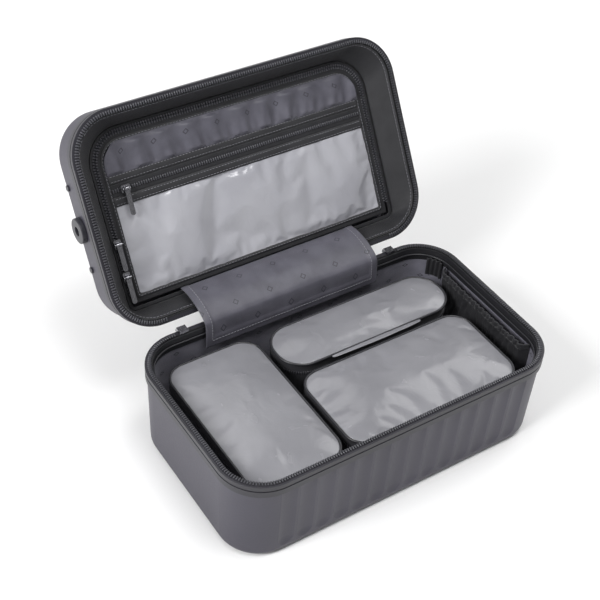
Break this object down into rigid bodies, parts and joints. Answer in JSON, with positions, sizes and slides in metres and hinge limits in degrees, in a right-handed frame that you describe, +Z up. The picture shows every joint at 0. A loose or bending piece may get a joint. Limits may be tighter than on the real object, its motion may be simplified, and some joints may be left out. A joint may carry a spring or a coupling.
{
  "type": "vanity case",
  "caption": "Hard-shell zipped vanity case, lid open on rear hinges, fluted front, zip-round lid divider with window pocket, lift-out pouches.",
  "frame": {"origin": "centre of the base's footprint, on the plane it rests on", "axes": "+X along the front towards the elastic pocket, +Y from the front to the hinges, +Z up"},
  "size_m": [0.3462, 0.3484, 0.2727],
  "materials": {
    "abs_shell": "moulded matte, fine grain",
    "rim_band": "satin, extruded",
    "zipper_tape": "woven polyester",
    "zipper_coil": "nylon coil",
    "liner_trim": "satin black",
    "piping": "satin piping",
    "lining": "polyester satin",
    "border": "plain polyester",
    "elastic": "ruched elastic",
    "clear_vinyl": "frosted clear film",
    "pouch_film": "frosted film",
    "pouch_fabric": "black nylon",
    "pouch_piping": "welt",
    "nickel": "polished nickel",
    "hinge_steel": "black plated",
    "moulding": "moulded grey"
  },
  "bodies": {
    "base": {"base_shell": "abs_shell", "base_rim_band": "rim_band", "base_zipper_tape": "zipper_tape", "base_zipper_teeth": "zipper_coil", "base_liner_frame": "liner_trim", "base_piping": "piping", "base_lining": "lining", "elastic_pocket": "border", "pocket_elastic_band": "elastic", "hinge_base_leaves": "hinge_steel", "hinge_pins": "hinge_steel", "hinge_base_rivets": "hinge_steel", "hinge_flap": "lining"},
    "lid": {"lid_shell": "abs_shell", "lid_rim_band": "rim_band", "lid_zipper_tape": "zipper_tape", "lid_zipper_teeth": "zipper_coil", "lid_border_panel": "border", "lid_lining": "lining", "lid_back_lining": "lining", "lining_zipper_outer": "zipper_tape", "strap_studs": "moulding", "lid_bumpers": "moulding", "handle_mounts": "moulding", "hinge_lid_leaves": "hinge_steel", "hinge_lid_rivets": "hinge_steel"},
    "divider": {"divider_backing": "lining", "lining_zipper_inner": "zipper_tape", "divider_binding": "piping", "gathered_panel": "lining", "pocket_trims": "border", "pocket_zipper_tape": "zipper_tape", "pocket_zipper_teeth": "zipper_coil", "vinyl_window": "clear_vinyl"},
    "handle": {"carry_handle": "moulding"},
    "pocket_slider": {"pocket_slider": "nickel"},
    "pocket_pull": {"pocket_pull": "nickel"},
    "lining_slider_upper": {"lining_slider_upper": "nickel"},
    "lining_pull_upper": {"lining_pull_upper": "nickel"},
    "lining_slider_lower": {"lining_slider_lower": "nickel"},
    "lining_pull_lower": {"lining_pull_lower": "nickel"},
    "main_slider_left": {"main_slider_left": "nickel"},
    "main_pull_left": {"main_pull_left": "nickel"},
    "main_slider_right": {"main_slider_right": "nickel"},
    "main_pull_right": {"main_pull_right": "nickel"},
    "pouch_left": {"pouch_left_bag": "pouch_fabric", "pouch_left_piping": "pouch_piping", "pouch_left_window": "pouch_film", "pouch_left_zipper": "pouch_fabric"},
    "pouch_slider_left": {"pouch_left_slider": "nickel"},
    "pouch_back": {"pouch_back_bag": "pouch_fabric", "pouch_back_piping": "pouch_piping", "pouch_back_window": "pouch_film", "pouch_back_zipper": "pouch_fabric"},
    "pouch_slider_back": {"pouch_back_slider": "nickel"},
    "pouch_right": {"pouch_right_bag": "pouch_fabric", "pouch_right_piping": "pouch_piping", "pouch_right_window": "pouch_film", "pouch_right_zipper": "pouch_fabric"},
    "pouch_slider_right": {"pouch_right_slider": "nickel"}
  },
  "joints": [
    {"name": "lid_hinge", "type": "hinge", "parent": "base", "child": "lid", "pos_m": [0, 0.105, 0.098], "axis": [-1, 0, 0], "range_deg": [-121, 0], "deforming": ["hinge_flap"]},
    {"name": "divider_hinge", "type": "hinge", "parent": "lid", "child": "divider", "pos_m": [0, 0.13827, 0.10367], "axis": [1, 0, 0], "range_deg": [0, 35]},
    {"name": "handle_lift", "type": "slide", "parent": "lid", "child": "handle", "axis": [0, 0.8572, -0.515], "range_m": [0, 0.008], "stiffness_N_per_m": 400, "springref_m": -0.004},
    {"name": "pouch_left_lift", "type": "slide", "parent": "base", "child": "pouch_left", "axis": [0, 0, 1], "range_m": [0, 0.15]},
    {"name": "pouch_back_lift", "type": "slide", "parent": "base", "child": "pouch_back", "axis": [0, 0, 1], "range_m": [0, 0.15]},
    {"name": "pouch_right_lift", "type": "slide", "parent": "base", "child": "pouch_right", "axis": [0, 0, 1], "range_m": [0, 0.15]},
    {"name": "pouch_left_zip", "type": "slide", "parent": "pouch_left", "child": "pouch_slider_left", "axis": [1, 0, 0], "range_m": [0, 0.045]},
    {"name": "pouch_back_zip", "type": "slide", "parent": "pouch_back", "child": "pouch_slider_back", "axis": [1, 0, 0], "range_m": [0, 0.13]},
    {"name": "pouch_right_zip", "type": "slide", "parent": "pouch_right", "child": "pouch_slider_right", "axis": [1, 0, 0], "range_m": [0, 0.137]},
    {"name": "pocket_zip", "type": "slide", "parent": "divider", "child": "pocket_slider", "axis": [1, 0, 0], "range_m": [0, 0.245]},
    {"name": "pocket_pull_swing", "type": "hinge", "parent": "pocket_slider", "child": "pocket_pull", "pos_m": [-0.122, 0.18867, 0.19997], "axis": [-1, 0, 0], "range_deg": [0, 110]},
    {"name": "lining_zip_upper", "type": "slide", "parent": "divider", "child": "lining_slider_upper", "axis": [0, 0.515, 0.8572], "range_m": [0, 0.062]},
    {"name": "lining_pull_upper_swing", "type": "hinge", "parent": "lining_slider_upper", "child": "lining_pull_upper", "pos_m": [-0.14335, 0.16515, 0.15986], "axis": [-1, 0, 0], "range_deg": [0, 110]},
    {"name": "lining_zip_lower", "type": "slide", "parent": "divider", "child": "lining_slider_lower", "axis": [0, -0.515, -0.8572], "range_m": [0, 0.008]},
    {"name": "lining_pull_lower_swing", "type": "hinge", "parent": "lining_slider_lower", "child": "lining_pull_lower", "pos_m": [-0.14335, 0.14918, 0.13328], "axis": [-1, 0, 0], "range_deg": [0, 110]},
    {"name": "main_zip_left", "type": "slide", "parent": "base", "child": "main_slider_left", "axis": [-1, 0, 0], "range_m": [0, 0.003]},
    {"name": "main_pull_left_swing", "type": "hinge", "parent": "main_slider_left", "child": "main_pull_left", "pos_m": [-0.116, 0.104, 0.094], "axis": [1, 0, 0], "range_deg": [0, 50]},
    {"name": "main_zip_right", "type": "slide", "parent": "base", "child": "main_slider_right", "axis": [1, 0, 0], "range_m": [0, 0.003]},
    {"name": "main_pull_right_swing", "type": "hinge", "parent": "main_slider_right", "child": "main_pull_right", "pos_m": [0.116, 0.104, 0.094], "axis": [1, 0, 0], "range_deg": [0, 50]}
  ]
}
